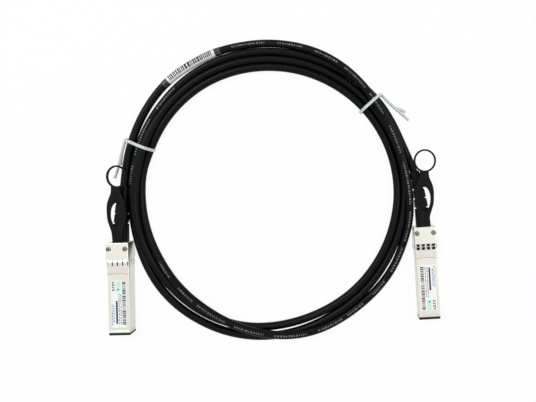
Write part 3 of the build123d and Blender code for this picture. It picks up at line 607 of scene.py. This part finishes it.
# %% Rounded pull tabs
RIM_RADIUS = 0.28 * MM
RIM_ANGLE = math.radians(50)
FLAT_ANGLE = math.radians(0.5)
TAB_SHARP = 30
for end in "ab":
    shape = bmesh.new()
    shape.from_mesh(nodes[f"pull_tab_{end}"].data)
    bmesh.ops.remove_doubles(shape, verts=shape.verts, dist=MERGE)
    bmesh.ops.dissolve_limit(
        shape, angle_limit=FLAT_ANGLE, verts=shape.verts, edges=shape.edges
    )
    closed = [edge for edge in shape.edges if edge.is_manifold]
    rims = [edge for edge in closed if edge.calc_face_angle(0) > RIM_ANGLE]
    bmesh.ops.bevel(
        shape, geom=rims, offset=RIM_RADIUS, offset_type="OFFSET", segments=3,
        profile=0.5, affect="EDGES", clamp_overlap=True, material=-1,
    )
    tab = piece_of(
        shape, f"soft_pull_tab_{end}", f"release_{end}", [tab_rubber], TAB_SHARP
    )
    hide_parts(f"pull_tab_{end}")

# %% [markdown]
# ## Return springs
# The spring behind the slider shortens by the tab's travel when the tab is pulled.
# A copy of each spring, with its loose triangles merged, takes the place of the
# model's spring.

# %% Copies of the springs
for end in "ab":
    mesh = nodes[f"return_spring_{end}"].data.copy()
    shape = bmesh.new()
    shape.from_mesh(mesh)
    bmesh.ops.remove_doubles(shape, verts=shape.verts, dist=MERGE)
    shape.to_mesh(mesh)
    shape.free()
    spring = bpy.data.objects.new(f"live_spring_{end}", mesh)
    scene.collection.objects.link(spring)
    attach(spring, "cable")
    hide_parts(f"return_spring_{end}")
    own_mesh(spring)

# %% [markdown]
# ## Label print
# Each label has fields of colour and bars, in its plug's own millimetres: x across
# from the middle, y from the housing's rear face towards the nose. The second
# plug's label was stuck on the other way round, so its print is turned half round.

# %% Where the print lies
LABEL_TOP = 9.52
LABEL_MIDDLE = -38.3
SUNK = 0.01
INKS = [black_ink, grey_ink, blue_ink, pale_green_ink, green_ink]
BLACK, GREY, BLUE, PALE_GREEN, GREEN = range(5)
# The long row of bars: across the label, from its first place to its last.
BAR_SPAN = (2.2, 4.4)
BAR_ROWS = (-24.6, -51.6)
LABEL_BARS = (0.25, 0.35, 0.55, 0.75)
LABEL_GAPS = (0.25, 0.35, 0.5)
# Each plain field: across, lengthways, its ink and its height over the label.
FIELDS = (
    ((-1.5, 1.3), (-24.3, -30.6), PALE_GREEN, 0.02),
    ((-1.0, 0.1), (-28.9, -30.0), GREEN, 0.03),
    ((-1.9, -0.8), (-36.6, -50.9), BLACK, 0.02),
)
# Each column of short marks: across, its ink, and its first and last place.
COLUMNS = (
    ((-4.1, -3.5), BLACK, (-24.6, -31.0)),
    ((-3.2, -2.6), BLACK, (-24.6, -30.0)),
    ((-4.6, -3.9), BLUE, (-38.6, -51.0)),
    ((-3.6, -2.9), BLUE, (-39.4, -49.5)),
    ((-0.2, 0.4), GREY, (-32.0, -51.0)),
    ((1.0, 1.6), GREY, (-32.6, -50.4)),
)
MARK_LENGTHS = (0.5, 1.6)
MARK_SPACES = (0.35, 0.8)
print("fields", len(FIELDS), "columns", len(COLUMNS))


# %% Print on both labels
def label_field(shape, x, y, ink, rise=0.02):
    """One printed field, as a very thin plate on the label."""
    x = [value * MM for value in x]
    y = [value * MM for value in y]
    z = [(LABEL_TOP - SUNK) * MM, (LABEL_TOP + rise) * MM]
    flat_plate(shape, x, sorted(y), z, material=ink)


for end, half_turn in (("a", 0.0), ("b", math.pi)):
    chance = random.Random(7)
    print_shape = bmesh.new()
    y = BAR_ROWS[0]
    while y > BAR_ROWS[1]:
        bar = chance.choice(LABEL_BARS)
        label_field(print_shape, BAR_SPAN, (y, y - bar), BLACK)
        y -= bar + chance.choice(LABEL_GAPS)
    for across, lengthways, ink, rise in FIELDS:
        label_field(print_shape, across, lengthways, ink, rise)
    for across, ink, rows in COLUMNS:
        y = rows[0]
        while y > rows[1]:
            mark = chance.uniform(*MARK_LENGTHS)
            label_field(print_shape, across, (y, y - mark), ink)
            y -= mark + chance.uniform(*MARK_SPACES)
    there = Matrix.Translation((0, LABEL_MIDDLE * MM, 0))
    turned = there @ Matrix.Rotation(half_turn, 4, "Z") @ there.inverted()
    bmesh.ops.transform(print_shape, matrix=PLUGS[end] @ turned, verts=print_shape.verts)
    piece_of(print_shape, f"label_print_{end}", "cable", INKS)

# %% [markdown]
# ## Painted shade in the spring collars
# The collar's fingers stand over slots in the casting, and their shade is painted: thin
# black plates lie on the casting under the gaps. Seen from above, the first plug shows
# them as narrow gaps between the fingers. On the second the fingers are bowed further,
# with two windows of painted shade lying on each. On both plugs a painted shadow line
# runs along the collar's front edge.

# %% Sizes of the collar
BODY_TOP = 9.6
FINGER_NEAR = -10.7
FINGER_LENGTH = 3.9
FINGER_PITCH = 3.2
FINGER_COUNT = 4
COLLAR_SHEET = 0.25
BOW = 0.135
GAP_HALF = 0.3
GAP_RISE = 0.1
WINDOW_HALF = 1.0
WINDOWS = ((0.15, 1.55), (1.85, 3.7))
SHADE_RISE = 0.03
# The collar's front edge is an arch, whose top is on the plug's middle line.
ARCH_TOP = -19.32
ARCH_HALF = 13.4
ARCH_DROP = 3.2
EDGE_HALF = 6.6
EDGE_WIDTH = 0.18
print("fingers", FINGER_COUNT, "windows", FINGER_COUNT * len(WINDOWS))


# %% Painted shade: gaps, windows and a shadow line at the front edge
def painted_gap_shade(shape):
    """Painted shade: narrow dark plates in the gaps between straight fingers, and at both ends of
    their row.
    """
    for gap in range(FINGER_COUNT + 1):
        x = (gap - FINGER_COUNT / 2) * FINGER_PITCH
        across = ((x - GAP_HALF) * MM, (x + GAP_HALF) * MM)
        lengthways = ((FINGER_NEAR - FINGER_LENGTH) * MM, FINGER_NEAR * MM)
        flat_plate(shape, across, lengthways, (BODY_TOP * MM, (BODY_TOP + GAP_RISE) * MM))


def painted_window_shade(shape):
    """Painted shade: two dark windows on each bowed finger, lifted onto its bow."""
    for finger in range(FINGER_COUNT):
        x = (finger - (FINGER_COUNT - 1) / 2) * FINGER_PITCH
        for near, far in WINDOWS:
            across = ((x - WINDOW_HALF) * MM, (x + WINDOW_HALF) * MM)
            lengthways = ((FINGER_NEAR - far) * MM, (FINGER_NEAR - near) * MM)
            for vertex in flat_plate(shape, across, lengthways, (0, SHADE_RISE * MM), (1, 5)):
                down = FINGER_NEAR - vertex.co.y / MM
                rise = BOW * down * (FINGER_LENGTH - down)
                vertex.co.z += (BODY_TOP + COLLAR_SHEET + rise) * MM


def painted_edge_shadow(shape):
    """Painted shadow: a thin dark line along the arched front edge of the collar."""
    across = (-EDGE_HALF * MM, EDGE_HALF * MM)
    height = (BODY_TOP * MM, (BODY_TOP + SHADE_RISE) * MM)
    for vertex in flat_plate(shape, across, (-EDGE_WIDTH * MM, 0), height, (14, 1)):
        share = vertex.co.x / (ARCH_HALF * MM)
        vertex.co.y += (ARCH_TOP - ARCH_DROP * share * share) * MM


# Painted shade in each collar's slots, and a painted shadow line along its front edge.
for end, painted_shade_places in (("a", painted_gap_shade), ("b", painted_window_shade)):
    slots = bmesh.new()
    painted_shade_places(slots)
    painted_edge_shadow(slots)
    bmesh.ops.transform(slots, matrix=PLUGS[end], verts=slots.verts)
    piece_of(slots, f"collar_painted_shade_{end}", "cable", [painted_shade])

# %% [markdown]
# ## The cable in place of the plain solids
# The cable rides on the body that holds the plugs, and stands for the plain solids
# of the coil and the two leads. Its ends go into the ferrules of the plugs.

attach(cable, "cable")
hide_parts("cable_coil", "cable_lead_a", "cable_lead_b")
print("declared", round(cable_length, 3))

# %% [markdown]
# ## Floor, light and air
# The picture has a pure white ground. The floor is pale and shows white to the
# camera and in reflections, yet keeps a share of its true shading, so the object
# still casts a soft shadow. Two wide lamps and a plain white air light the object.


# %% Floor
def seen_directly(tree):
    """One for rays from the camera, a reflection or clear material, and nought for others."""
    ray = add(tree, "ShaderNodeLightPath", {})
    mirrored = {0: ray.outputs["Is Camera Ray"], 1: ray.outputs["Is Glossy Ray"]}
    either = add(tree, "ShaderNodeMath", mirrored, operation="MAXIMUM")
    passed = {0: either.outputs[0], 1: ray.outputs["Is Transmission Ray"]}
    return add(tree, "ShaderNodeMath", passed, operation="MAXIMUM").outputs[0]


FLOOR_SIDE = 3.0
WHITE_SHARE = 0.92
floor_shape = bmesh.new()
bmesh.ops.create_grid(floor_shape, x_segments=1, y_segments=1, size=FLOOR_SIDE / 2)
floor_mesh = bpy.data.meshes.new("studio_floor")
floor_shape.to_mesh(floor_mesh)
floor_shape.free()
floor = bpy.data.objects.new("studio_floor", floor_mesh)
scene.collection.objects.link(floor)
floor_material = bpy.data.materials.new("matte_white_floor")
floor_material.use_nodes = True
tree = floor_material.node_tree
tree.nodes.clear()
share = add(tree, "ShaderNodeMath", {0: seen_directly(tree), 1: WHITE_SHARE}, operation="MULTIPLY")
pale = add(tree, "ShaderNodeBsdfDiffuse", {"Color": paint("#eeeeee")})
white = add(tree, "ShaderNodeEmission", {"Color": (1, 1, 1, 1), "Strength": 1.0})
mixed = add(
    tree, "ShaderNodeMixShader", {0: share.outputs[0], 1: pale.outputs[0], 2: white.outputs[0]}
)
add(tree, "ShaderNodeOutputMaterial", {"Surface": mixed.outputs[0]})
floor_mesh.materials.append(floor_material)
print("floor", FLOOR_SIDE)

# %% Air and lamps
AIR_LIGHT = 0.5
world = bpy.data.worlds.new("studio_air")
scene.world = world
world.use_nodes = True
tree = world.node_tree
tree.nodes.clear()
level_inputs = {"Value": seen_directly(tree), "To Min": AIR_LIGHT, "To Max": 1.0}
level = add(tree, "ShaderNodeMapRange", level_inputs)
air = add(tree, "ShaderNodeBackground", {"Color": (1, 1, 1, 1), "Strength": level.outputs[0]})
add(tree, "ShaderNodeOutputWorld", {"Surface": air.outputs[0]})
LAMPS = (
    ("left_window", (-0.55, 0.45, 0.95), 0.4, 6.0),
    ("right_window", (0.75, 0.15, 0.9), 0.35, 4.4),
)
AIM = Vector((0, 0.03, 0))
for name, place, side, power in LAMPS:
    lamp_data = bpy.data.lights.new(name, "AREA")
    lamp_data.shape = "SQUARE"
    lamp_data.size = side
    lamp_data.energy = power
    lamp = bpy.data.objects.new(name, lamp_data)
    lamp.location = place
    lamp.rotation_euler = (AIM - Vector(place)).to_track_quat("-Z", "Y").to_euler()
    scene.collection.objects.link(lamp)
print("lamps", len(LAMPS))
